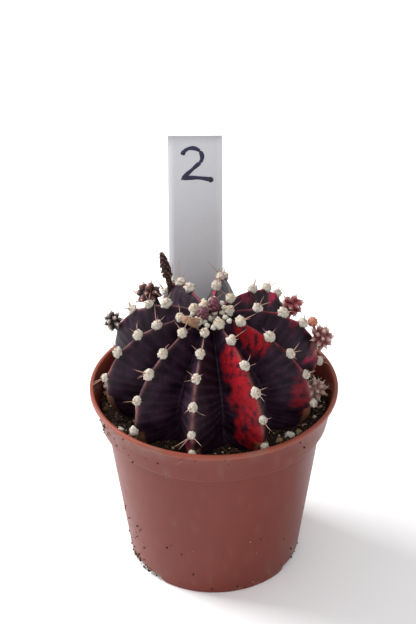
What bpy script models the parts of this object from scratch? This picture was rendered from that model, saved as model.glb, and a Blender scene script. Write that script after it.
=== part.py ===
"""Own-rooted moon cactus (variegated Gymnocalycium) with offsets in a nursery pot.

Metres, +Z up.  The set stands on z = 0, under the middle of its bounding box.
The pot's axis is a little in front of the origin because the plant label leans
out over the back rim.  Every dimension below is given in millimetres and is
turned into metres by MM.
"""
import math

import bmesh
import bpy
from mathutils import Matrix, Vector, noise

MM = 0.001

# ---------------------------------------------------------------- dimensions
POT_AXIS_Y = -5.37        # pot axis in front of the set's middle
GAP = 0.3                 # clearance between pieces that touch
BODY_GAP = 0.5            # the same along the crest normal, a steep flank needs more

POT_H = 68.4              # height of the pot
POT_R_FOOT = 29.8         # outside radius at the foot
POT_R_WAIST = 37.1        # outside radius just under the collar
POT_Z_WAIST = 54.9
POT_R_COLLAR_LOW = 39.2
POT_R_COLLAR_TOP = 41.3
POT_Z_COLLAR_LOW = 56.0
POT_Z_COLLAR_TOP = 66.6
POT_R_LIP = 42.5          # 85 mm over the lip
POT_LIP_T = 1.4
POT_WALL = 0.9
POT_FLOOR_LOW, POT_FLOOR_TOP = 2.6, 3.6
NOTCH_ANGLES = (-54.0, 69.0, 188.0)   # degrees from the front, towards +X
NOTCH_W, NOTCH_H = 16.9, 2.3
DRAIN_R, DRAIN_RING_R, DRAIN_COUNT = 3.0, 17.0, 5
POT_STEPS = 48

SOIL_TOP = 61.0           # mean soil level
SOIL_ROUGH = 0.8

PLANT_X, PLANT_Y = -0.3, 0.1          # plant axis from the pot axis
PLANT_TILT_X, PLANT_TILT_Y = 8.75, -1.14   # degrees, the crown looks forward
RIB_R = 36.7              # crest radius at the equator
RIB_UP = 28.1             # crown height over the equator
RIB_DOWN = 22.0           # underside depth below the equator
EQUATOR = 12.33           # equator height over the soil level
RIB_POWER = 2.28          # superellipse power of the crest line
RIB_DEPTH = 12.6          # valley depth at the equator
CROWN_DIP = 2.4
# azimuth of each rib (degrees from the front, towards +X) and the distance of
# its first woolly areole from the crown centre, along the crest
RIBS = ((-10.8, 10.4), (26.8, 6.8), (64.2, 11.0), (100.1, 6.8), (135.7, 9.8),
        (171.4, 6.6), (206.2, 5.0), (246.4, 6.2), (282.2, 10.4), (315.6, 5.6))
AREOLE_STEP, AREOLE_GROW = 8.1, 0.35  # spacing along a crest and its growth
AREOLE_R = 1.5
SECTOR_STEPS = 6         # faces from one rib crest to the next
CREST_STEPS = 17

LABEL_W, LABEL_T = 19.0, 0.6
LABEL_LEAN = 14.0         # degrees, backwards
LABEL_X, LABEL_Y, LABEL_Z = -6.0, 36.0, 68.0   # a point on its middle line
LABEL_UP = 70.1           # from that point to the top edge
LABEL_SHOULDER = -9.6     # where the point starts, in the soil
LABEL_TIP = -37.0
LABEL_TIP_W = 2.4

COLLECTION = "potted_moon_cactus"


# ------------------------------------------------------------------ helpers
for old in list(bpy.data.objects):
    bpy.data.objects.remove(old, do_unlink=True)

scene = bpy.context.scene
parts = bpy.data.collections.new(COLLECTION)
cutters = bpy.data.collections.new("cutters")
scene.collection.children.link(parts)
scene.collection.children.link(cutters)

stand = bpy.data.objects.new("pot_axis", None)
stand.location = (0.0, POT_AXIS_Y * MM, 0.0)
parts.objects.link(stand)
plant_axis = bpy.data.objects.new("plant_axis", None)
plant_axis.location = (PLANT_X * MM, PLANT_Y * MM, SOIL_TOP * MM)
plant_axis.rotation_euler = (math.radians(PLANT_TILT_X), math.radians(PLANT_TILT_Y), 0.0)
plant_axis.parent = stand
parts.objects.link(plant_axis)


def material(name, rgb, rough, spec=0.5):
    m = bpy.data.materials.new(name)
    m.use_nodes = True
    b = m.node_tree.nodes["Principled BSDF"]
    b.inputs["Base Color"].default_value = (rgb[0], rgb[1], rgb[2], 1.0)
    b.inputs["Roughness"].default_value = rough
    b.inputs["Metallic"].default_value = 0.0
    b.inputs["Specular IOR Level"].default_value = spec
    m.diffuse_color = (rgb[0], rgb[1], rgb[2], 1.0)
    return m


def add(name, mesh, where=parts, parent=stand, mat=None, smooth=45.0):
    ob = bpy.data.objects.new(name, mesh)
    ob.parent = parent
    where.objects.link(ob)
    if mat is not None:
        mesh.materials.clear()
        mesh.materials.append(mat)
    if where is cutters:
        ob.hide_render = True
        ob.display_type = 'WIRE'
    else:
        mesh.shade_smooth()
        mesh.set_sharp_from_angle(angle=math.radians(smooth))
    return ob


def mesh_of(bm, name):
    bmesh.ops.recalc_face_normals(bm, faces=bm.faces)
    me = bpy.data.meshes.new(name)
    bm.to_mesh(me)
    bm.free()
    return me


def cut(ob, cutter, how='DIFFERENCE'):
    m = ob.modifiers.new(how.lower() + "_" + cutter.name, 'BOOLEAN')
    m.operation = how
    m.object = cutter
    m.solver = 'EXACT'
    return m


def turned(name, profile, steps, mat, where=parts):
    """Turned shape: profile of (radius, height) in mm, down its outer side."""
    me = bpy.data.meshes.new(name)
    verts = [(r * MM, 0.0, z * MM) for r, z in profile]
    me.from_pydata(verts, [(i, i + 1) for i in range(len(verts) - 1)], [])
    ob = add(name, me, where=where, mat=mat)
    s = ob.modifiers.new("turn", 'SCREW')
    s.axis = 'Z'
    s.angle = math.radians(360.0)
    s.steps = steps
    s.render_steps = steps
    s.use_merge_vertices = True
    s.merge_threshold = 0.00001
    s.use_smooth_shade = True
    return ob


def lump(name, radii, seed, rough, centre, mat, steps=(12, 8), bumps=None,
         turn=(0.0, 0.0, 0.0), parent=stand, where=parts):
    """An ellipsoid from a primitive sphere, roughened by noise or by a rule."""
    bm = bmesh.new()
    bmesh.ops.create_uvsphere(bm, u_segments=steps[0], v_segments=steps[1], radius=1.0)
    for v in bm.verts:
        n = v.co.normalized()
        k = 1.0 + rough * noise.noise(n * 1.7 + Vector((seed, 0.37 * seed, 1.9)))
        if bumps is not None:
            k += bumps(n)
        v.co = Vector((n.x * radii[0], n.y * radii[1], n.z * radii[2])) * (k * MM)
    ob = add(name, mesh_of(bm, name), where=where, parent=parent, mat=mat, smooth=60.0)
    ob.location = Vector(centre) * MM
    ob.rotation_euler = [math.radians(a) for a in turn]
    return ob


# ---------------------------------------------------------------- materials
terracotta = material("terracotta_plastic", (0.275, 0.066, 0.045), 0.38)
peat = material("dark_peat", (0.020, 0.012, 0.009), 0.95, 0.2)
flesh = material("purple_black_flesh", (0.022, 0.008, 0.015), 0.45)
grey_plastic = material("grey_label_plastic", (0.53, 0.53, 0.57), 0.42)
plum = material("plum_bud", (0.085, 0.016, 0.032), 0.5)
straw = material("dry_tan", (0.42, 0.26, 0.15), 0.85, 0.2)
husk = material("dry_dark_husk", (0.050, 0.026, 0.022), 0.8, 0.25)
dark_pup = material("dark_offset", (0.045, 0.014, 0.020), 0.5)
pale_pup = material("pink_offset", (0.32, 0.11, 0.10), 0.6)
white_pup = material("pale_offset", (0.42, 0.27, 0.23), 0.7)
perlite = material("perlite", (0.68, 0.65, 0.60), 0.9, 0.2)
grit = material("ochre_grit", (0.30, 0.19, 0.10), 0.9, 0.2)


# --------------------------------------------------------------------- pot
def wall_r(z):
    """Outside radius of the plain wall and of the collar."""
    if z <= POT_Z_WAIST:
        return POT_R_FOOT + (POT_R_WAIST - POT_R_FOOT) * z / POT_Z_WAIST
    f = (z - POT_Z_COLLAR_LOW) / (POT_Z_COLLAR_TOP - POT_Z_COLLAR_LOW)
    return POT_R_COLLAR_LOW + (POT_R_COLLAR_TOP - POT_R_COLLAR_LOW) * f


inner_side = [(0.0, POT_FLOOR_TOP), (wall_r(POT_FLOOR_TOP) - POT_WALL - 1.0, POT_FLOOR_TOP),
              (wall_r(POT_FLOOR_TOP + 1.0) - POT_WALL, POT_FLOOR_TOP + 1.0)]
inner_side += [(wall_r(z) - POT_WALL, z) for z in (30.0, POT_Z_WAIST - 0.6)]
inner_side += [(POT_R_COLLAR_LOW - POT_WALL, POT_Z_COLLAR_LOW + 0.4),
               (POT_R_COLLAR_TOP - POT_WALL, POT_Z_COLLAR_TOP - 0.2),
               (POT_R_LIP - POT_LIP_T, POT_H - 0.35),
               (POT_R_LIP - POT_LIP_T + 0.35, POT_H)]
outer_side = [(POT_R_LIP - 0.4, POT_H), (POT_R_LIP, POT_H - 0.4), (POT_R_LIP, POT_H - 1.4),
              (POT_R_LIP - 0.3, POT_H - 1.7), (POT_R_COLLAR_TOP, POT_Z_COLLAR_TOP - 0.1),
              (POT_R_COLLAR_LOW, POT_Z_COLLAR_LOW), (POT_R_COLLAR_LOW - 0.4, POT_Z_COLLAR_LOW - 0.6),
              (POT_R_WAIST, POT_Z_WAIST), (wall_r(28.0), 28.0), (wall_r(0.5), 0.5),
              (POT_R_FOOT - 0.25, 0.0), (POT_R_FOOT - 1.35, 0.0),
              (POT_R_FOOT - 1.45, POT_FLOOR_LOW - 0.4), (POT_R_FOOT - 1.9, POT_FLOOR_LOW),
              (0.0, POT_FLOOR_LOW)]
pot = turned("nursery_pot", inner_side + outer_side, POT_STEPS, terracotta)

# drainage: three wide notches in the foot ring and a ring of holes in the floor
bm = bmesh.new()
for a in NOTCH_ANGLES:
    got = bmesh.ops.create_cube(bm, size=1.0)
    a = math.radians(a)
    place = (Matrix.Rotation(a, 4, 'Z')
             @ Matrix.Translation(Vector((0.0, -POT_R_FOOT, NOTCH_H / 2 - 1.0)) * MM)
             @ Matrix.Diagonal((NOTCH_W * MM, 9.0 * MM, (NOTCH_H + 2.0) * MM, 1.0)))
    bmesh.ops.transform(bm, matrix=place, verts=got["verts"])
upper = [e for e in bm.edges if e.verts[0].co.z > 0 and e.verts[1].co.z > 0
         and abs(Vector(e.verts[0].co.xy - e.verts[1].co.xy).length - 9.0 * MM) < 0.2 * MM]
bmesh.ops.bevel(bm, geom=upper, offset=1.2 * MM, segments=3, profile=0.5, affect='EDGES')
notches = add("foot_notches", mesh_of(bm, "foot_notches"), where=cutters)
cut(pot, notches)

bm = bmesh.new()
for i in range(DRAIN_COUNT):
    a = 2 * math.pi * (i + 0.5) / DRAIN_COUNT
    bmesh.ops.create_cone(bm, cap_ends=True, segments=16, radius1=DRAIN_R * MM,
                          radius2=DRAIN_R * MM, depth=4.0 * MM,
                          matrix=Matrix.Translation(Vector((DRAIN_RING_R * math.sin(a),
                                                            -DRAIN_RING_R * math.cos(a), 3.0)) * MM))
drains = add("drain_holes", mesh_of(bm, "drain_holes"), where=cutters)
cut(pot, drains)


# ------------------------------------------------------------- ribbed body
def crest(t):
    """Crest line in the plant's axial plane: t 0 crown, 1 equator, 2 underside."""
    th = t * math.pi / 2
    s, c = abs(math.sin(th)), math.cos(th)
    r = RIB_R * s ** (2 / RIB_POWER)
    h = RIB_UP if c > 0 else RIB_DOWN
    z = EQUATOR + math.copysign(h * abs(c) ** (2 / RIB_POWER), c)
    if c > 0:
        z -= CROWN_DIP * math.exp(-(r / 6.5) ** 2)
    return r, z


def crest_normal(t):
    a, b = crest(max(t - 0.004, 1e-4)), crest(t + 0.004)
    dr, dz = b[0] - a[0], b[1] - a[1]
    n = math.hypot(dr, dz)
    return -dz / n, dr / n


def valley_depth(t):
    r, _ = crest(t)
    d = RIB_DEPTH * (1.0 - math.exp(-(r / 13.0) ** 1.5))
    if t > 1.1:
        f = min(1.0, (t - 1.1) / 0.6)
        d *= 1.0 - f * f * (3 - 2 * f)
    return d


def body_point(t, across, grow):
    """across: 1 on a crest, 0 in a valley."""
    r, z = crest(t)
    nr, nz = crest_normal(t)
    x, e = 1.0 - across, 0.09
    g = (math.sqrt(x * x + e * e) - e) / (math.sqrt(1 + e * e) - e)
    d = valley_depth(t) * g - grow
    return max(r - nr * d * (1.0 if nr > 0 else 0.0), 0.8), z - nz * d


def ribbed_body(name, grow):
    azimuths = [math.radians(a) for a, _ in RIBS]
    columns = []
    for i, a in enumerate(azimuths):
        b = azimuths[(i + 1) % len(RIBS)] + (2 * math.pi if i == len(RIBS) - 1 else 0.0)
        for k in range(SECTOR_STEPS):
            s = k / SECTOR_STEPS
            columns.append((a + (b - a) * s, abs(2 * s - 1)))
    rows = [0.05 + 1.0 * i / (CREST_STEPS - 6) for i in range(CREST_STEPS - 6)]
    rows += [1.05 + 0.72 * i / 6 for i in range(7)]
    bm = bmesh.new()
    rings = []
    for t in rows:
        ring = []
        for az, across in columns:
            r, z = body_point(t, across, grow)
            ring.append(bm.verts.new((r * math.sin(az) * MM, -r * math.cos(az) * MM, z * MM)))
        rings.append(ring)
    # short neck and tap root under the body, below the soil
    low = crest(rows[-1])[1]
    for r, z in ((8.0, low - 1.6), (5.0, low - 6.0), (2.6, low - 12.0)):
        rings.append([bm.verts.new(((r + grow) * math.sin(az) * MM, -(r + grow) * math.cos(az) * MM,
                                    (z - grow) * MM)) for az, _ in columns[::2]])
    n = len(columns)
    top = bm.verts.new((0.0, 0.0, (crest(0.02)[1] + grow) * MM))
    for j in range(n):
        bm.faces.new((top, rings[0][j], rings[0][(j + 1) % n]))
    for a, b in zip(rings, rings[1:]):
        if len(a) == len(b):
            for j in range(len(a)):
                k = (j + 1) % len(a)
                bm.faces.new((a[j], b[j], b[k], a[k]))
        else:
            for j in range(len(b)):
                k = (j + 1) % len(b)
                bm.faces.new((a[2 * j], b[j], b[k], a[(2 * j + 2) % len(a)], a[2 * j + 1]))
    tip = bm.verts.new((0.0, 0.0, (low - 13.0 - grow) * MM))
    last = rings[-1]
    for j in range(len(last)):
        bm.faces.new((last[j], tip, last[(j + 1) % len(last)]))
    return mesh_of(bm, name)


body = add("cactus_body", ribbed_body("cactus_body", 0.0), parent=plant_axis, mat=flesh, smooth=50.0)
clearance = add("body_clearance", ribbed_body("body_clearance", BODY_GAP), where=cutters,
                parent=plant_axis)


def crest_at(distance):
    """Crest position and parameter at a distance from the crown centre."""
    t, left, last = 0.0, distance, (0.0, crest(0.0)[1])
    while left > 0.0 and t < 1.6:
        t += 0.002
        p = crest(t)
        left -= math.hypot(p[0] - last[0], p[1] - last[1])
        last = p
    return last, t


# woolly areole cushions along every crest, down to the soil
lean = Matrix.Rotation(math.radians(PLANT_TILT_Y), 3, 'Y') @ Matrix.Rotation(math.radians(PLANT_TILT_X), 3, 'X')
bm = bmesh.new()
room = bmesh.new()
for azimuth, first in RIBS:
    a, s = math.radians(azimuth), first
    for k in range(6):
        (r, z), t = crest_at(s)
        s += AREOLE_STEP + AREOLE_GROW * k
        nr, nz = crest_normal(t)
        r, z = r + 0.25 * nr, z + 0.25 * nz
        p = Vector((r * math.sin(a), -r * math.cos(a), z))
        if (lean @ p).z < 4.6 or t > 1.25:
            continue
        size = AREOLE_R * min(1.0, 0.72 + 0.02 * r)
        bmesh.ops.create_uvsphere(bm, u_segments=6, v_segments=4, radius=size * MM,
                                  matrix=Matrix.Translation(p * MM))
        bmesh.ops.create_uvsphere(room, u_segments=8, v_segments=5, radius=(size + 0.45) * MM,
                                  matrix=Matrix.Translation(p * MM))
cushions = add("areole_cushions", mesh_of(bm, "areole_cushions"), where=cutters, parent=plant_axis)
cut(body, cushions, 'UNION')
cushion_room = add("cushion_room", mesh_of(room, "cushion_room"), where=cutters, parent=plant_axis)


# -------------------------------------------------------------------- label
def label_blade(name, grow):
    w, t = LABEL_W / 2 + grow, LABEL_T / 2 + grow
    outline = [(-w, LABEL_UP + grow), (-w, LABEL_SHOULDER), (-LABEL_TIP_W / 2 - grow, LABEL_TIP - grow),
               (LABEL_TIP_W / 2 + grow, LABEL_TIP - grow), (w, LABEL_SHOULDER), (w, LABEL_UP + grow)]
    bm = bmesh.new()
    front = [bm.verts.new((x * MM, -t * MM, z * MM)) for x, z in outline]
    face = bm.faces.new(front)
    got = bmesh.ops.extrude_face_region(bm, geom=[face])
    moved = [v for v in got["geom"] if isinstance(v, bmesh.types.BMVert)]
    bmesh.ops.translate(bm, verts=moved, vec=(0.0, 2 * t * MM, 0.0))
    return mesh_of(bm, name)


def stand_label(ob):
    ob.location = Vector((LABEL_X, LABEL_Y, LABEL_Z)) * MM
    ob.rotation_euler = (math.radians(-LABEL_LEAN), 0.0, 0.0)


label = add("plant_label", label_blade("plant_label", 0.0), mat=grey_plastic, smooth=30.0)
stand_label(label)
edge = label.modifiers.new("soft_edge", 'BEVEL')
edge.width = 0.12 * MM
edge.segments = 1
edge.limit_method = 'ANGLE'
slot = add("label_slot", label_blade("label_slot", GAP + 0.05), where=cutters)
stand_label(slot)


# ---------------------------------------------------------------------- soil
def soil_height(x, y):
    """Soil level in mm over the pot axis plane, a little mounded at the wall."""
    r = math.hypot(x, y)
    h = SOIL_TOP + SOIL_ROUGH * noise.noise(Vector((x / 9.0, y / 9.0, 3.1)))
    h += 0.5 * SOIL_ROUGH * noise.noise(Vector((x / 4.0, y / 4.0, 7.7)))
    return h + 0.9 * max(0.0, (r - 33.0) / 6.0)


soil_wall = [(wall_r(z) - POT_WALL - GAP, z) for z in (50.0, 30.0, POT_FLOOR_TOP + 1.2)]
top_rings = [0.0, 16.0, 22.0, 26.0, 29.0, 32.0, 35.0, 37.4]
soil_profile = [(r, SOIL_TOP) for r in top_rings]
soil_profile += [(wall_r(SOIL_TOP - 1.2) - POT_WALL - GAP - 0.1, SOIL_TOP),
                 (POT_R_COLLAR_LOW - POT_WALL - GAP - 0.2, POT_Z_COLLAR_LOW + 1.2),
                 (wall_r(POT_Z_WAIST - 2.0) - POT_WALL - GAP - 0.1, POT_Z_WAIST - 1.0)] + soil_wall
soil_profile += [(soil_wall[-1][0] - 0.9, POT_FLOOR_TOP + GAP), (0.0, POT_FLOOR_TOP + GAP)]
turning = turned("soil_turning", soil_profile, 48, peat)
bpy.context.view_layer.update()
soil_mesh = bpy.data.meshes.new_from_object(turning.evaluated_get(bpy.context.evaluated_depsgraph_get()))
bpy.data.objects.remove(turning, do_unlink=True)
for v in soil_mesh.vertices:
    if v.co.z > (SOIL_TOP - 0.5) * MM:
        v.co.z = soil_height(v.co.x / MM, v.co.y / MM) * MM
soil = add("potting_soil", soil_mesh, mat=peat)
cut(soil, clearance)
cut(soil, slot)


# ------------------------------------------------------- offsets and flowers
def tubercles(count, height, width, phase=0.0):
    """Rule for rounded tubercles spread over a sphere along a golden spiral."""
    tips = []
    for i in range(count):
        z = 1.0 - 2.0 * (i + 0.5) / count
        a = i * math.pi * (3.0 - math.sqrt(5.0)) + phase
        s = math.sqrt(1.0 - z * z)
        tips.append(Vector((s * math.cos(a), s * math.sin(a), z)))

    def bump(n):
        d = max(n.dot(tip) for tip in tips)
        return height * math.exp(-((1.0 - d) / width))
    return bump


# name, radii, centre from the pot axis, turn, tubercles, height, material, seed
OFFSETS = (
    ("offset_back_left", (3.5, 3.1, 3.1), (-22.6, 16.4, 93.8), (0, 0, 0), 14, 0.30, dark_pup, 1.0),
    ("offset_left", (2.9, 2.7, 2.8), (-34.2, 10.6, 87.0), (0, -30, 0), 12, 0.34, dark_pup, 2.0),
    ("offset_back_right", (3.0, 2.8, 3.3), (27.4, 20.2, 86.6), (0, 20, 0), 12, 0.30, pale_pup, 3.0),
    ("offset_right", (3.8, 3.6, 3.7), (36.2, 2.2, 85.2), (0, 35, 0), 16, 0.34, pale_pup, 4.0),
    ("offset_low_right", (4.4, 3.6, 2.9), (34.2, 0.4, 65.0), (0, 0, 10), 15, 0.30, white_pup, 5.0),
)
for name, radii, centre, turn, count, height, mat, seed in OFFSETS:
    ob = lump(name, radii, seed, 0.06, centre, mat, steps=(14, 9),
              bumps=tubercles(count, height, 0.10, seed), turn=turn)
    cut(ob, clearance)
    cut(ob, cushion_room)

# two plum-coloured buds in the crown wool
for name, centre, radii, turn in (("flower_bud_left", (-3.5, -7.6, 101.0), (1.9, 1.9, 2.6), (12, -8, 0)),
                                  ("flower_bud_right", (0.2, -3.6, 102.0), (1.8, 1.8, 2.9), (4, 8, 0))):
    ob = lump(name, radii, 0.0, 0.0, centre, plum, steps=(14, 9), turn=turn,
              bumps=lambda n: 0.14 * max(0.0, n.z) ** 3)
    cut(ob, clearance)
    cut(ob, cushion_room)

# withered flower lying against the crown, a crumpled cone
bm = bmesh.new()
bmesh.ops.create_cone(bm, cap_ends=True, segments=14, radius1=2.6 * MM, radius2=1.2 * MM, depth=5.6 * MM)
bmesh.ops.subdivide_edges(bm, edges=[e for e in bm.edges if abs(e.verts[0].co.z - e.verts[1].co.z) > 3 * MM],
                          cuts=3)
for v in bm.verts:
    a = math.atan2(v.co.y, v.co.x)
    k = 1.0 + 0.13 * math.sin(5 * a + 300.0 * v.co.z) + 0.06 * math.sin(9 * a)
    v.co.x *= k
    v.co.y *= k
dried = add("dried_flower", mesh_of(bm, "dried_flower"), mat=straw)
dried.location = Vector((-7.6, -11.6, 100.6)) * MM
dried.rotation_euler = (math.radians(25), math.radians(-48), 0.0)
cut(dried, clearance)
cut(dried, cushion_room)

# dark withered flower stem with overlapping scales, on a rib at the back left
profile = [(0.0, 12.6)]
for i in range(6):
    z = 12.0 - 1.9 * i
    w = 1.1 + 1.25 * math.sin(math.pi * (i + 1.2) / 7.4)
    profile += [(w, z), (w * 0.74, z - 1.0)]
profile += [(0.95, 0.4), (1.25, -2.4), (0.0, -2.4)]
stalk = turned("dried_stalk", profile, 12, husk)
stalk.location = Vector((-15.0, 19.2, 96.0)) * MM
stalk.rotation_euler = (math.radians(-6), math.radians(-12), 0.0)
cut(stalk, clearance)
cut(stalk, cushion_room)

# round withered bud over the right-hand offset
ball = lump("withered_bud", (1.65, 1.65, 1.6), 6.0, 0.10, (33.4, 3.0, 90.9), pale_pup, steps=(12, 8))

# ------------------------------------------------------- grains on the soil
# name, radii, position from the pot axis (x, y), rise over the soil, material
GRAINS = (
    ("perlite_left", (1.3, 1.7, 1.1), (-36.8, 7.4), 0.8, perlite),
    ("grit_left", (1.0, 1.0, 0.8), (-37.2, 3.4), 0.5, grit),
    ("perlite_right_a", (1.2, 1.3, 1.0), (36.9, 7.6), 0.6, perlite),
    ("perlite_right_b", (1.1, 1.0, 0.9), (34.4, 9.3), 0.6, perlite),
    ("perlite_front", (1.7, 1.3, 1.1), (24.9, -21.5), 0.6, perlite),
    ("grit_front_a", (1.2, 1.0, 0.9), (21.6, -24.6), 0.4, grit),
    ("grit_front_b", (1.1, 1.0, 0.8), (28.4, -19.4), 0.4, grit),
    ("perlite_front_left", (0.9, 1.0, 0.8), (-31.4, -18.6), 0.4, perlite),
)
bm = bmesh.new()
for i, (name, radii, (x, y), rise, mat) in enumerate(GRAINS):
    centre = (x, y, soil_height(x, y) + rise)
    ob = lump(name, radii, 10.0 + i, 0.28, centre, mat, steps=(10, 7), turn=(0, 0, 40 * i))
    cut(ob, clearance)
    cut(ob, cushion_room)
    pocket = Matrix.Translation(Vector(centre) * MM) @ Matrix.Diagonal((1.0, 1.0, 0.8, 1.0))
    bmesh.ops.create_uvsphere(bm, u_segments=12, v_segments=8,
                              radius=(max(radii) * 1.16 + 0.4) * MM, matrix=pocket)
low = OFFSETS[4]
bmesh.ops.create_uvsphere(bm, u_segments=20, v_segments=12, radius=1.0,
                          matrix=Matrix.Translation(Vector(low[2]) * MM)
                          @ Matrix.Diagonal(((low[1][0] * 1.36 + 0.4) * MM, (low[1][1] * 1.36 + 0.4) * MM,
                                             (low[1][2] * 1.36 + 0.4) * MM, 1.0)))
pockets = add("grain_pockets", mesh_of(bm, "grain_pockets"), where=cutters)
cut(soil, pockets).use_self = True
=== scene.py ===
import bpy, math, random
from mathutils import Matrix, Vector, noise


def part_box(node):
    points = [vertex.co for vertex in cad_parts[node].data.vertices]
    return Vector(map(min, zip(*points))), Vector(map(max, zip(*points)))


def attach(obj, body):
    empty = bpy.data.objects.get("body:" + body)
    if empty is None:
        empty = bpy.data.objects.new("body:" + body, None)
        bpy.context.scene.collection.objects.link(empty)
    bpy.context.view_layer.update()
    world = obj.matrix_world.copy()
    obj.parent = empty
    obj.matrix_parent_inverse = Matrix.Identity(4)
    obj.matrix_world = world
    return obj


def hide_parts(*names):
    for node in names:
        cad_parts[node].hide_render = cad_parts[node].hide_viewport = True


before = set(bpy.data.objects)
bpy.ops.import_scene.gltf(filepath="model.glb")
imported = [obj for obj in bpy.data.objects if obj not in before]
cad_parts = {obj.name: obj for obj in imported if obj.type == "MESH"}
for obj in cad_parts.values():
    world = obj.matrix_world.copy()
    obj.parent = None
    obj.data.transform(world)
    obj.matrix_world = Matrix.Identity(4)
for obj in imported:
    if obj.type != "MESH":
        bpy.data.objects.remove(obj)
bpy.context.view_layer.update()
rnd = random.Random(7)
MM = 0.001
plo, phi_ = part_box("nursery_pot")
OX, OY = (plo[0] + phi_[0]) / 2 / MM, (plo[1] + phi_[1]) / 2 / MM


def N(x, y, z, s=1.0):
    return noise.noise(Vector((x * s, y * s, z * s)))


def mix(a, b, f):
    f = max(0.0, min(1.0, f))
    return tuple(p + (q - p) * f for p, q in zip(a, b))


class Mesh:
    """Collects millimetre geometry in the pot frame with a colour per point."""
    def __init__(self):
        self.v, self.f, self.c = [], [], []

    def grid(self, rows, cols, wrap=True):
        """rows: list of lists of (point, colour)."""
        b = len(self.v)
        n = len(rows[0])
        for r in rows:
            for p, c in r:
                self.v.append(p); self.c.append(c)
        for i in range(len(rows) - 1):
            for j in range(n if wrap else n - 1):
                k = (j + 1) % n
                self.f.append((b + i * n + j, b + (i + 1) * n + j, b + (i + 1) * n + k, b + i * n + k))

    def ball(self, c, radii, col, seed=0.0, rough=0.15, seg=10, turn=None, colf=None, freq=1.6):
        b = len(self.v)
        m = turn or Matrix.Identity(3)
        rings = max(4, seg * 2 // 3)
        pts = [Vector((0, 0, 1))]
        for i in range(1, rings):
            a = math.pi * i / rings
            for j in range(seg):
                q = 2 * math.pi * j / seg
                pts.append(Vector((math.sin(a) * math.cos(q), math.sin(a) * math.sin(q), math.cos(a))))
        pts.append(Vector((0, 0, -1)))
        for n in pts:
            k = 1 + rough * noise.noise(n * freq + Vector((seed, seed * 0.7, 3))) * 1.6
            self.v.append(Vector(c) + m @ Vector((n.x * radii[0], n.y * radii[1], n.z * radii[2])) * k)
            self.c.append(colf(n) if colf else col)
        for j in range(seg):
            k = (j + 1) % seg
            self.f.append((b, b + 1 + j, b + 1 + k))
            for i in range(rings - 2):
                o = b + 1 + i * seg
                self.f.append((o + j, o + seg + j, o + seg + k, o + k))
            o = b + 1 + (rings - 2) * seg
            self.f.append((o + j, len(self.v) - 1, o + k))

    def tube(self, pts, radii, cols, seg=5):
        b = len(self.v)
        for i, p in enumerate(pts):
            d = (pts[min(i + 1, len(pts) - 1)] - pts[max(i - 1, 0)]).normalized()
            u = d.orthogonal().normalized(); w = d.cross(u)
            for j in range(seg):
                a = 2 * math.pi * j / seg
                self.v.append(p + (u * math.cos(a) + w * math.sin(a)) * radii[i]); self.c.append(cols[i])
        for i in range(len(pts) - 1):
            for j in range(seg):
                k = (j + 1) % seg
                self.f.append((b + i * seg + j, b + i * seg + k, b + (i + 1) * seg + k, b + (i + 1) * seg + j))
        self.f.append(tuple(b + j for j in reversed(range(seg))))
        self.f.append(tuple(b + (len(pts) - 1) * seg + j for j in range(seg)))

    def make(self, name, mat, nodes=(), smooth=True):
        me = bpy.data.meshes.new(name)
        me.from_pydata([((p[0] + OX) * MM, (p[1] + OY) * MM, p[2] * MM) for p in self.v], [], self.f)
        at = me.color_attributes.new("tone", 'FLOAT_COLOR', 'POINT')
        at.data.foreach_set("color", [x for c in self.c for x in (c[0], c[1], c[2], 1.0)])
        me.materials.append(mat)
        if smooth:
            me.shade_smooth()
        ob = bpy.data.objects.new(name, me)
        bpy.context.scene.collection.objects.link(ob)
        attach(ob, "root")
        if nodes:
            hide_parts(*nodes)
        return ob


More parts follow.
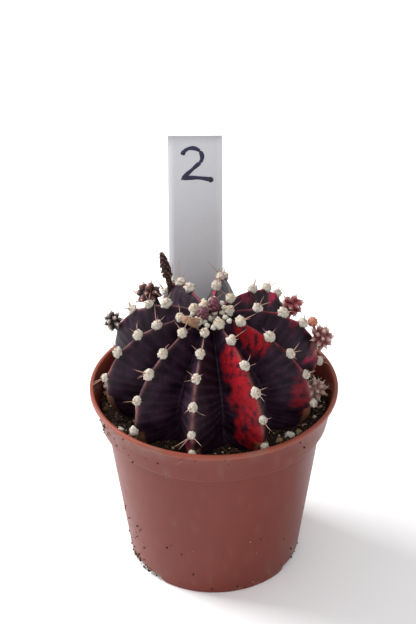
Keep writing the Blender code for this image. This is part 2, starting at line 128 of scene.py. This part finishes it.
def surface(name, rough, bump=0.2, scale=900.0, dist=0.0002, vary=0.25, spec=0.5, sss=0.0, stretch=(1, 1, 1)):
    """Tone attribute broken up by two noises, with a fine noise bump."""
    m = bpy.data.materials.new(name); m.use_nodes = True
    t = m.node_tree; b = t.nodes["Principled BSDF"]
    at = t.nodes.new("ShaderNodeAttribute"); at.attribute_name = "tone"
    co = t.nodes.new("ShaderNodeTexCoord"); mp = t.nodes.new("ShaderNodeMapping")
    mp.inputs["Scale"].default_value = stretch
    t.links.new(co.outputs["Object"], mp.inputs["Vector"])
    n1 = t.nodes.new("ShaderNodeTexNoise"); n1.inputs["Scale"].default_value = scale; n1.inputs["Detail"].default_value = 6
    n2 = t.nodes.new("ShaderNodeTexNoise"); n2.inputs["Scale"].default_value = scale * 0.13; n2.inputs["Detail"].default_value = 4
    for n in (n1, n2):
        t.links.new(mp.outputs["Vector"], n.inputs["Vector"])
    r = t.nodes.new("ShaderNodeMapRange"); r.inputs["From Min"].default_value = 0.3; r.inputs["From Max"].default_value = 0.7
    r.inputs["To Min"].default_value = 1 - vary; r.inputs["To Max"].default_value = 1 + vary
    ad = t.nodes.new("ShaderNodeMath"); ad.operation = 'ADD'
    h = t.nodes.new("ShaderNodeMath"); h.operation = 'MULTIPLY'; h.inputs[1].default_value = 0.5
    t.links.new(n1.outputs["Fac"], ad.inputs[0]); t.links.new(n2.outputs["Fac"], ad.inputs[1])
    t.links.new(ad.outputs[0], h.inputs[0]); t.links.new(h.outputs[0], r.inputs["Value"])
    vm = t.nodes.new("ShaderNodeVectorMath"); vm.operation = 'SCALE'
    t.links.new(at.outputs["Color"], vm.inputs[0]); t.links.new(r.outputs["Result"], vm.inputs["Scale"])
    t.links.new(vm.outputs["Vector"], b.inputs["Base Color"])
    rr = t.nodes.new("ShaderNodeMapRange"); rr.inputs["To Min"].default_value = rough - 0.08; rr.inputs["To Max"].default_value = rough + 0.1
    t.links.new(n2.outputs["Fac"], rr.inputs["Value"]); t.links.new(rr.outputs["Result"], b.inputs["Roughness"])
    bp = t.nodes.new("ShaderNodeBump"); bp.inputs["Strength"].default_value = bump; bp.inputs["Distance"].default_value = dist
    t.links.new(n1.outputs["Fac"], bp.inputs["Height"]); t.links.new(bp.outputs["Normal"], b.inputs["Normal"])
    b.inputs["Specular IOR Level"].default_value = spec
    return m


M_pot = surface("pot_plastic", 0.40, 0.12, 1500, 0.00008, 0.10, 0.25)
M_soil = surface("peat_mix", 0.92, 0.8, 1400, 0.0005, 0.6, 0.15)
M_flesh = surface("cactus_skin", 0.46, 0.5, 1100, 0.0002, 0.5, 0.12)
M_wool = surface("areole_wool", 0.95, 0.9, 2500, 0.0003, 0.15, 0.1)
M_spine = surface("spine_horn", 0.5, 0.2, 1500, 0.0001, 0.2)
M_pup = surface("offset_skin", 0.5, 0.4, 1600, 0.0002, 0.3)
M_dry = surface("dry_tissue", 0.85, 0.8, 1500, 0.0003, 0.35, 0.15)
M_label = surface("label_plastic", 0.42, 0.06, 900, 0.00005, 0.03)
M_ink = surface("marker_ink", 0.45, 0.1, 1500, 0.00005, 0.25)

# ---- pot
RT = (0.150, 0.025, 0.016)


def wall(z):
    return 29.8 + 7.3 * z / 54.9


prof = [(0.5, 3.6), (27.9, 3.6), (wall(5) - 0.9, 5)] + [(wall(z) - 0.9, z) for z in range(10, 55, 4)]
prof += [(38.3, 56.4), (39.3, 61), (40.4, 66.4), (41.1, 68.0), (41.22, 68.28), (41.5, 68.4), (42.1, 68.4), (42.38, 68.28),
         (42.5, 68.0), (42.5, 67.1), (42.42, 66.85), (42.2, 66.7), (41.4, 66.6), (41.25, 66.4), (40.2, 61), (39.2, 56.1), (39.1, 55.7), (38.8, 55.4),
         (37.3, 55.0), (37.12, 54.8), (37.0, 54.3)]
prof += [(wall(z), z) for z in range(52, 3, -4)] + [(wall(3), 3), (wall(2.2), 2.2), (29.85, 0.6), (29.7, 0.2), (29.4, 0.0), (28.6, 0.0), (28.4, 0.4), (28.3, 2.2), (27.9, 2.6), (0.5, 2.6)]
m = Mesh(); rows = []
for k, (r, z) in enumerate(prof):
    row = []
    for j in range(240):
        a = 2 * math.pi * j / 240
        d = min(abs((math.degrees(a) - c + 180) % 360 - 180) for c in (-54, 69, 188))
        zz = z
        if k > 45 and z < 2.3 and r > 28.0:
            f = max(0.0, min(1.0, (17.0 - d) / 2.0)); zz = z + (2.3 - z) * f * f * (3 - 2 * f)
        rr = r + 0.05 * N(math.sin(a) * 2, math.cos(a) * 2, z / 14)
        # painted highlight: the rim top and lip (z above 66.5) get a lighter red than the rest of the pot
        c = mix(RT, (0.25, 0.058, 0.036), 1.0 if z > 66.5 else 0.0)
        dust = max(0, N(math.sin(a) * 9, math.cos(a) * 9, z / 5) - 0.25) * (1.2 if z > 53 or z < 6 else 0.35)
        c = mix(c, (0.20, 0.10, 0.07), dust)
        row.append(((rr * math.sin(a), -rr * math.cos(a), zz), c))
    rows.append(row)
m.grid(rows, 240)
m.make("pot_shell", M_pot, ("nursery_pot",))

# ---- soil


def soil_h(x, y):
    r = math.hypot(x, y)
    return 61 + 0.8 * N(x / 9, y / 9, 3.1) + 0.5 * N(x / 3.2, y / 3.2, 1) + 0.3 * N(x, y, 0) + 0.9 * max(0, (r - 33) / 6)


m = Mesh(); rows = []
for i in range(80):
    r = 14 + 24.6 * i / 79
    rows.append([((r * math.sin(a), -r * math.cos(a), soil_h(r * math.sin(a), -r * math.cos(a))), (0.022, 0.013, 0.010))
                 for a in [2 * math.pi * j / 300 for j in range(300)]])
for r, z in ((37.6, 57), (34.7, 52), (29.0, 5), (28, 4), (1, 4)):
    rows.append([((r * math.sin(a), -r * math.cos(a), z), (0.022, 0.013, 0.01)) for a in [2 * math.pi * j / 300 for j in range(300)]])
m.grid(rows, 300)
for i in range(2600):
    a = rnd.uniform(0, 2 * math.pi); r = math.sqrt(rnd.uniform(23 ** 2, 38.6 ** 2))
    x, y = r * math.sin(a), -r * math.cos(a); s = rnd.uniform(0.25, 0.85) * (1.3 if rnd.random() < 0.1 else 0.8)
    q = rnd.random()
    c = (0.025, 0.014, 0.01) if q < 0.75 else ((0.09, 0.05, 0.03) if q < 0.93 else (0.42, 0.33, 0.25))
    m.ball((x, y, soil_h(x, y) + s * 0.3), (s, s * rnd.uniform(0.6, 1.4), s * 0.7), c, i * 1.3, 0.4, 6)
for i in range(260):
    a = rnd.uniform(0, 2 * math.pi); r = rnd.uniform(26, 37); x, y = r * math.sin(a), -r * math.cos(a); q = rnd.uniform(0, 6.3); L = rnd.uniform(1.5, 4)
    p = [Vector((x + math.cos(q) * L * t, y + math.sin(q) * L * t, soil_h(x, y) + 0.5 + 0.5 * math.sin(3 * t))) for t in (-.5, 0, .5)]
    if all(math.hypot(v.x, v.y) < 38.4 for v in p):
        c = (0.16, 0.09, 0.05); m.tube(p, (0.09, 0.13, 0.07), (c, c, c), 4)
m.make("soil_surface", M_soil, ("potting_soil",))

# ---- ribbed plant
RIBS = (-10.8, 26.8, 64.2, 100.1, 135.7, 171.4, 206.2, 246.4, 282.2, 315.6)
ARE = ((.15, .30, .47, .67, .88, 1.03), (.09, .23, .42, .62, .83, 1.05), (.16, .36, .54, .74, .99), (.09, .25, .43, .62, .85, 1.02), (.14, .34, .50, .67, .85),
       (.08, .23, .42, .62, .83), (.06, .24, .39, .60, .8), (.08, .25, .38, .54, .77), (.15, .29, .43, .63, .88), (.08, .20, .38, .55, .76, 1.0))
TILT = Matrix.Rotation(math.radians(-1.14), 3, 'Y') @ Matrix.Rotation(math.radians(8.75), 3, 'X')
PO = Vector((-0.3, 0.1, 61))


def crest(t):
    th = t * math.pi / 2; s, c = abs(math.sin(th)), math.cos(th)
    r = 36.7 * s ** (2 / 2.28); z = 12.33 + math.copysign((28.1 if c > 0 else 22) * abs(c) ** (2 / 2.28), c)
    return r, z - (2.4 * math.exp(-(r / 6.5) ** 2) if c > 0 else 0)


def cn(t):
    a, b = crest(max(t - .004, 1e-4)), crest(t + .004); d = math.hypot(b[0] - a[0], b[1] - a[1])
    return -(b[1] - a[1]) / d, (b[0] - a[0]) / d


def flesh(t, x, az, i, side):
    r, z = crest(t); nr, nz = cn(t); e = 0.07
    d = 12.6 * (1 - math.exp(-(r / 13) ** 1.5))
    if t > 1.1:
        f = min(1, (t - 1.1) / .6); d *= 1 - f * f * (3 - 2 * f)
    g = (math.sqrt(x * x + e * e) - e) / (math.sqrt(1 + e * e) - e)
    near = min(abs(t - a) for a in ARE[i])
    edge = math.exp(-(x / .16) ** 2)
    out = edge * (0.75 * math.exp(-(near / .035) ** 2) - 0.35) + 0.3 * N(r * math.sin(az) / 5, r * math.cos(az) / 5, z / 5) + 0.07 * math.sin(t * 75 + 3 * x) * (1 - edge) * min(1, r / 20)
    d = d * g - out
    r = max(r - max(nr, 0) * d, 0.6); z -= nz * d
    return PO + TILT @ Vector((r * math.sin(az), -r * math.cos(az), z)), near, edge


RED, PINK, DARK, OLIVE, MARGIN = (0.27, 0.007, 0.013), (0.46, 0.010, 0.065), (0.007, 0.0025, 0.006), (0.028, 0.024, 0.016), (0.21, 0.085, 0.08)
PATCH = {(1, -1): [(.2, 1.2, 1.0, RED)], (1, 1): [(.15, .5, .35, RED)], (2, -1): [(.12, .42, 1.0, RED), (.7, 1.15, .55, RED)], (2, 1): [(.4, .8, .3, PINK)],
         (3, -1): [(.5, .6, .25, PINK), (.85, 1.1, .5, PINK)], (3, 1): [(.4, .9, .6, PINK)], (4, -1): [(.2, .34, .6, PINK), (.5, .68, .8, PINK)], (4, 1): [(.3, .9, .5, RED)],
         (6, -1): [(.15, .4, .5, PINK)], (5, 1): [(.1, .35, .5, PINK)], (7, -1): [(.8, 1.2, .5, PINK)], (8, -1): [(.9, 1.2, .6, PINK)], (0, -1): [(.95, 1.2, .3, PINK)]}


def tone(t, x, i, side, near, edge, p):
    n = N(p.x / 4, p.y / 4, p.z / 4); n2 = N(p.x / 1.2, p.y / 1.2, p.z / 3.0)
    # painted light: left-facing flanks and the left-back ribs (6 to 9) get a greyer, lighter purple base on the side
    # the left lamp lights
    c = mix(DARK, (0.026, 0.011, 0.023) if side < 0 or i in (6, 7, 8, 9) else (0.012, 0.004, 0.009), 0.5 + n)
    # painted highlight: lighter purple on the ridges of the same ripple bumps that flesh() builds into the shape
    c = mix(c, (0.06, 0.026, 0.045), 0.6 * max(0, math.sin(t * 75 + 3 * x) + n2) * 0.4)
    for a, b, k, col in PATCH.get((i, side), []):
        w = min(1, max(0, (t - a) / .05)) * min(1, max(0, (b - t) / .05)) * k
        reach = 0.75 if k > .9 else 0.38
        w *= max(0, min(1, (reach - x + 0.35 * n) / .15)) * max(0, min(1, 0.95 + 2.2 * n2))
        c = mix(c, col, w)
    pinkish = MARGIN if i in (0, 7, 8, 9) else ((0.36, 0.05, 0.07) if i in (3, 4, 5, 6) else (0.22, 0.05, 0.045))
    c = mix(c, pinkish, math.exp(-(x / .055) ** 2) * (0.75 + n))
    c = mix(c, OLIVE, 0.9 * math.exp(-(near / .022) ** 2) * math.exp(-(x / .14) ** 2))
    if t > 1.02 and x < 0.2:
        c = mix(c, (0.24, 0.12, 0.06), 0.6)
    return c


m = Mesh(); rows = []
K = 26
for it in range(190):
    t = 0.03 + 1.6 * it / 189; row = []
    for i in range(10):
        a = math.radians(RIBS[i]); b = math.radians(RIBS[(i + 1) % 10] + (360 if i == 9 else 0))
        for k in range(K):
            s = k / K; x = 1 - abs(2 * s - 1); rib, side = (i, 1) if s < .5 else ((i + 1) % 10, -1)
            p, near, edge = flesh(t, x, a + (b - a) * s, rib, side)
            row.append((p, tone(t, x, rib, side, near, edge, p)))
    rows.append(row)
q = PO + TILT @ Vector((0, 0, crest(.02)[1] - .3))
rows.insert(0, [(q, (0.3, 0.24, 0.18))] * len(rows[0]))
q = PO + Vector((0, 0, -12)); rows.append([(q, (0.05, 0.03, 0.02))] * len(rows[0]))
m.grid(rows, len(rows[0]))
m.make("ribbed_flesh", M_flesh, ("cactus_body",))

# ---- wool and spines
W, S = Mesh(), Mesh()
WOOL = (0.58, 0.53, 0.46)


def spine(p, d, L, r=0.17):
    bend = Vector((rnd.uniform(-1, 1), rnd.uniform(-1, 1), rnd.uniform(-.6, 1))) * 0.22
    pts = [p + d * L * u + bend * L * u * u for u in (0, .3, .6, .85, 1)]
    a = mix((0.38, 0.22, 0.15), (0.30, 0.12, 0.11), rnd.random())
    S.tube(pts, [r, r * .85, r * .6, r * .35, r * .1], [a, a, mix(a, (.5, .35, .25), .5), a, (0.10, 0.04, 0.035)])


for i, az in enumerate(RIBS):
    a = math.radians(az)
    for t in ARE[i]:
        r, z = crest(t); nr, nz = cn(t); o = Vector((math.sin(a), -math.cos(a), 0))
        n = TILT @ (o * nr + Vector((0, 0, nz))); p = PO + TILT @ (o * (r + .45 * nr) + Vector((0, 0, z + .45 * nz)))
        if p.z < 63.5:
            continue
        s = (1.55 if t < .7 else 1.35) * rnd.uniform(.88, 1.12); side = n.cross(Vector((0, 0, 1))).normalized() if abs(n.z) < .98 else Vector((1, 0, 0)); up = side.cross(n)
        T = Matrix((side, up, n)).transposed(); young = max(0, 1 - t / .25)
        W.ball(p, (s, s * 1.15, s * .95), WOOL, t * 31 + i, .28, 18, T, colf=lambda v: mix(WOOL, (.50, .36, .20), max(0, v.z) * (.25 + .55 * young) * (0.6 + rnd.random() * .5)), freq=2.6)
        for _ in range(70):
            d = (side * rnd.gauss(0, 1) + up * rnd.gauss(0, 1) + n * rnd.uniform(.2, 1.4)).normalized(); q = p + d * s * .82
            e = (d + Vector((rnd.gauss(0, .5), rnd.gauss(0, .5), rnd.gauss(0, .5)))).normalized()
            W.tube([q, q + (d + e) * .28, q + e * .6], [.05, .04, .015], [WOOL] * 3, 3)
        for _ in range(rnd.choice((2, 3, 3, 4)) if t > .12 else 1):
            d = (n * .75 + side * rnd.uniform(-1, 1) + up * rnd.uniform(-.8, .8)).normalized(); spine(p + n * .3, d, rnd.uniform(3.2, 6.8))
for k in range(26):
    a = k * 2.4; r = 1.0 + 1.25 * math.sqrt(k); p = PO + TILT @ Vector((r * math.sin(a), -r * math.cos(a), crest(r / 58)[1] - .2 - .04 * r))
    W.ball(p, (.95, .95, .9), WOOL, k, .35, 10, freq=2.5)
W.make("areole_wool_tufts", M_wool); S.make("spines", M_spine)


# ---- offsets: tubercles round a core, each with pale tips and short spines
def pup(name, node, c, rad, size, count, base, tip, lean):
    # painted shade: the core seen between the tubercles and the foot below the offset are darkened towards black
    m = Mesh(); c = Vector(c); m.ball(c, [q * .72 for q in rad], mix(base, (0, 0, 0), .4), 1, .1, 14)
    L = Vector(lean).normalized()
    foot = Vector((c.x * .84, c.y * .84, c.z - 6.0)) if c.z > 80 else c - Vector((2, 0, 3))
    m.tube([c, (c + foot) / 2, foot], [rad[0] * .55, rad[0] * .5, rad[0] * .45], [mix(base, (0, 0, 0), .3)] * 3, 12)
    for i in range(count):
        z = 1 - 1.55 * (i + .5) / count; a = i * 2.39996; s = math.sqrt(1 - z * z); v = Vector((s * math.cos(a), s * math.sin(a), z))
        v = (Vector((0, 0, 1)).rotation_difference(L)).to_matrix() @ v
        p = c + Vector((v.x * rad[0], v.y * rad[1], v.z * rad[2])) * .78
        T = Vector((0, 0, 1)).rotation_difference(v).to_matrix(); q = size * rnd.uniform(.8, 1.15)
        m.ball(p, (q, q, q * 1.3), base, i, .12, 12, T, colf=lambda n: mix(base, tip, max(0, n.z) ** 3 * .9))
        e = p + v * q * 1.25; m.ball(e, (.42, .42, .35), (.6, .5, .42), i, .3, 7)
        for _ in range(3):
            d = (v + Vector((rnd.gauss(0, .5), rnd.gauss(0, .5), rnd.gauss(.1, .5)))).normalized(); g = rnd.uniform(.9, 2.0)
            k = mix(tip, (.6, .45, .36), .6); m.tube([e, e + d * g * .6, e + d * g], [.11, .08, .02], [k] * 3, 4)
    return m.make(name, M_pup, (node,))


pup("pup_back_left", "offset_back_left", (-22.2, 16.6, 94.0), (4.0, 3.2, 3.2), 1.25, 17, (.030, .010, .014), (.30, .07, .05), (-.3, -.3, 1))
pup("pup_left", "offset_left", (-34.2, 10.6, 87.0), (2.9, 2.7, 2.8), .95, 14, (.012, .008, .010), (.55, .40, .34), (-1, -.2, .8))
pup("pup_back_right", "offset_back_right", (27.4, 20.2, 86.6), (3.0, 2.8, 3.3), 1.05, 14, (.22, .022, .03), (.50, .20, .20), (.7, -.2, .7))
pup("pup_right", "offset_right", (36.2, 2.2, 85.0), (3.8, 3.6, 3.8), .95, 22, (.22, .06, .06), (.62, .42, .38), (1, -.2, .5))
pup("pup_low_right", "offset_low_right", (34.2, .4, 65.0), (4.2, 3.6, 3.1), 1.1, 20, (.34, .17, .15), (.68, .55, .46), (.5, -.6, 1))

# ---- buds, withered flower, stalk and ball
for nm, node, c, h in (("bud_left", "flower_bud_left", (-3.5, -7.6, 101.0), 2.6), ("bud_right", "flower_bud_right", (.2, -3.6, 102.0), 2.9)):
    m = Mesh(); m.ball(c, (1.8, 1.8, h), (.09, .018, .034), 2, .08, 20)
    for i in range(22):
        z = .95 - 1.5 * i / 22; a = i * 2.4; s = math.sqrt(max(0, 1 - z * z)); v = Vector((s * math.cos(a), s * math.sin(a), z))
        m.ball(Vector(c) + Vector((v.x * 1.7, v.y * 1.7, v.z * h * .93)), (.62, .62, .42), (.12, .02, .04), i, .15, 8, Vector((0, 0, 1)).rotation_difference(v).to_matrix(), colf=lambda n: mix((.10, .018, .035), (.26, .10, .12), max(0, n.x)))
    m.make(nm, M_pup, (node,))
m = Mesh()
for i in range(46):
    u = i / 46; a = i * 2.4; c = Vector((-5.4, -11.2, 99.6)) + Vector((-4.2, -1.0, 2.2)) * u; w = 2.3 * (1 - .45 * u)
    v = Vector((.3 * math.cos(a), math.cos(a), math.sin(a)))
    k = mix((.46, .30, .18), (.20, .09, .07), rnd.random() * .8); m.ball(c + v * w * .6, (1.15, .8, .35), k, i, .4, 9, Vector((0, 0, 1)).rotation_difference(v).to_matrix())
m.make("withered_flower", M_dry, ("dried_flower",))
m = Mesh()
for i in range(44):
    u = i / 44; a = i * 2.4; w = .6 + 1.5 * math.sin(math.pi * min(1, u + .08)) ** .8 * (u > .22); z = 96 + 12 * u
    v = Vector((math.cos(a), math.sin(a), .55)).normalized(); c = Vector((-15.0 - 2.4 * u, 19.2 + .6 * u, z))
    T = Vector((0, 0, 1)).rotation_difference(v).to_matrix()
    m.ball(c + v * w * .75, (.75, .95, .42), (.04, .02, .02), i, .3, 9, T, colf=lambda n: mix((.030, .015, .015), (.26, .15, .10), max(0, abs(n.y) - .55) * 2))
m.tube([Vector((-14.0, 17, 90)), Vector((-15, 19.2, 97)), Vector((-16.4, 19.5, 103)), Vector((-17.2, 19.7, 107))], [1.1, .9, 1.1, .4], [(.05, .03, .025)] * 4, 10)
m.make("scaly_stalk", M_dry, ("dried_stalk",))
m = Mesh(); m.ball((33.4, 3.0, 90.9), (1.65, 1.65, 1.6), (.42, .16, .11), 6, .12, 20)
for i in range(24):
    z = 1 - 2 * (i + .5) / 24; a = i * 2.4; s = math.sqrt(1 - z * z); m.ball((33.4 + 1.5 * s * math.cos(a), 3 + 1.5 * s * math.sin(a), 90.9 + 1.5 * z), (.4, .4, .3), (.46, .2, .14), i, .2, 7)
m.tube([Vector((34.2, 2.7, 87.5)), Vector((33.4, 3, 90.9))], [.5, .5], [(.3, .1, .08)] * 2, 8)
m.make("round_withered_bud", M_dry, ("withered_bud",))

# ---- grains where the solids lie, and stray dirt
G = Mesh()
names = [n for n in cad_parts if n.startswith(("perlite", "grit"))]
for i, n in enumerate(sorted(names)):
    lo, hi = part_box(n); c = [(p + q) / 2 / MM for p, q in zip(lo, hi)]; r = [(q - p) / 2 / MM for p, q in zip(lo, hi)]
    col = (.66, .62, .56) if n.startswith("perl") else (.30, .20, .11)
    G.ball((c[0] - OX, c[1] - OY, c[2]), r, col, i * 3.3, .45, 18, freq=2.2)
G.make("grains", M_dry, tuple(names))
D = Mesh()
for i in range(130):
    a = math.radians(rnd.choice((rnd.gauss(-62, 9), rnd.uniform(-80, 80)))); z = rnd.choice((rnd.uniform(2, 25), rnd.uniform(55, 66), rnd.uniform(.4, 3)))
    r = (wall(z) if z < 54.9 else 39.2 + 2.1 * (z - 56) / 10.6) + .06; s = rnd.uniform(.12, .42)
    D.ball((r * math.sin(a), -r * math.cos(a), z), (s, s * 1.2, s * .8), (.05, .028, .018) if rnd.random() < .8 else (.3, .2, .12), i, .4, 7)
D.make("stray_dirt", M_soil)

# ---- label with a plain marker numeral
m = Mesh(); A = math.radians(14); P0 = Vector((-6, 36, 68)); ux, uz, un = Vector((1, 0, 0)), Vector((0, math.sin(A), math.cos(A))), Vector((0, -math.cos(A), math.sin(A)))
for sgn in (1, -1):
    rows = []
    for i in range(31):
        s = -37 + 107.1 * i / 30; w = 9.5 if s > -9.6 else 1.2 + 8.3 * (s + 37) / 27.4
        # painted shade: the label's pale grey gets darker towards its lower end and across its width
        rows.append([(P0 + ux * (w * (-1 + 2 * j / 8) * sgn) + uz * s + un * (.3 * sgn + .05 * N(j / 3, s / 12, 1)), mix((.58, .58, .61), (.52, .515, .535), (40 - s) / 60 + .1 * j)) for j in range(9)])
    m.grid(rows, 9, False)
n = 31 * 9
for i in range(30):
    for a0, b0 in ((i * 9, n + i * 9 + 8), (i * 9 + 8, n + i * 9)):
        m.f.append((a0, b0, b0 + 9, a0 + 9))
m.f.append(tuple(range(270, 279)) + tuple(range(n + 270, n + 279)))
m.f.append(tuple(reversed(range(0, 9))) + tuple(reversed(range(n, n + 9))))
m.make("label_blade", M_label, ("plant_label",))
m = Mesh(); pts = []
for i in range(41):
    u = i / 40
    if u < .5:
        b = math.pi * (0.92 - 1.22 * u / .5); x, y = -1 + 3.5 * math.cos(b), 62.6 + 3.2 * math.sin(b)
    elif u < .75:
        f = (u - .5) / .25; b = math.pi * -.3; x, y = mix((-1 + 3.5 * math.cos(b), 62.6 + 3.2 * math.sin(b)), (-4.6, 54.9), f)
    else:
        f = (u - .75) / .25; x, y = mix((-4.6, 54.9), (5.4, 54.5), f); y += .5 * math.sin(math.pi * f)
    pts.append(P0 + ux * x + uz * y + un * .36)
m.tube(pts, [.72 + .1 * math.sin(i) for i in range(41)], [(.012, .010, .045)] * 41, 8)
m.ball(pts[-1], (1.0, 1.0, 1.0), (.006, .005, .02), 1, .1, 10)
c0 = P0 + un * .36
m.v = [v - un * ((Vector(v) - c0).dot(un) * .85) for v in map(Vector, m.v)]
m.make("marker_two", M_ink)

# ---- floor, light, camera
fm = surface("floor_paper", .8, .05, 60, .0001, .015)
me = bpy.data.meshes.new("floor"); me.from_pydata([(-4, -3, 0), (4, -3, 0), (4, 9, 0), (-4, 9, 0)], [], [(0, 1, 2, 3)])
at = me.color_attributes.new("tone", 'FLOAT_COLOR', 'POINT'); at.data.foreach_set("color", [.97, .97, .98, 1] * 4)
me.materials.append(fm); fl = bpy.data.objects.new("floor", me); bpy.context.scene.collection.objects.link(fl)
w = bpy.data.worlds.new("studio"); bpy.context.scene.world = w; w.use_nodes = True
w.node_tree.nodes["Background"].inputs[0].default_value = (1, 1, 1, 1); w.node_tree.nodes["Background"].inputs[1].default_value = .68


def area(name, loc, size, power, col=(1, 1, 1)):
    l = bpy.data.lights.new(name, 'AREA'); l.size = size; l.energy = power; l.color = col
    o = bpy.data.objects.new(name, l); o.location = loc
    o.rotation_euler = (Vector((0, 0, .06)) - Vector(loc)).to_track_quat('-Z', 'Y').to_euler()
    bpy.context.scene.collection.objects.link(o)


area("left_soft", (-.75, .35, .75), .6, 16)
area("front_fill", (.1, -.9, .9), .6, 3.0)
cam = bpy.data.cameras.new("photo_view"); cam.lens = 103.85; cam.sensor_width = 36; cam.clip_start = .01
co = bpy.data.objects.new("photo_view", cam); bpy.context.scene.collection.objects.link(co)
co.matrix_world = Matrix.Translation((-.00184 + OX * MM, -.5092 + OY * MM, .4161)) @ Matrix.Rotation(math.radians(90 - 32.08), 4, 'X') @ Matrix.Rotation(-.007, 4, 'Z')
bpy.context.scene.camera = co
bpy.context.scene.view_settings.view_transform = 'Standard'
bpy.context.view_layer.update()
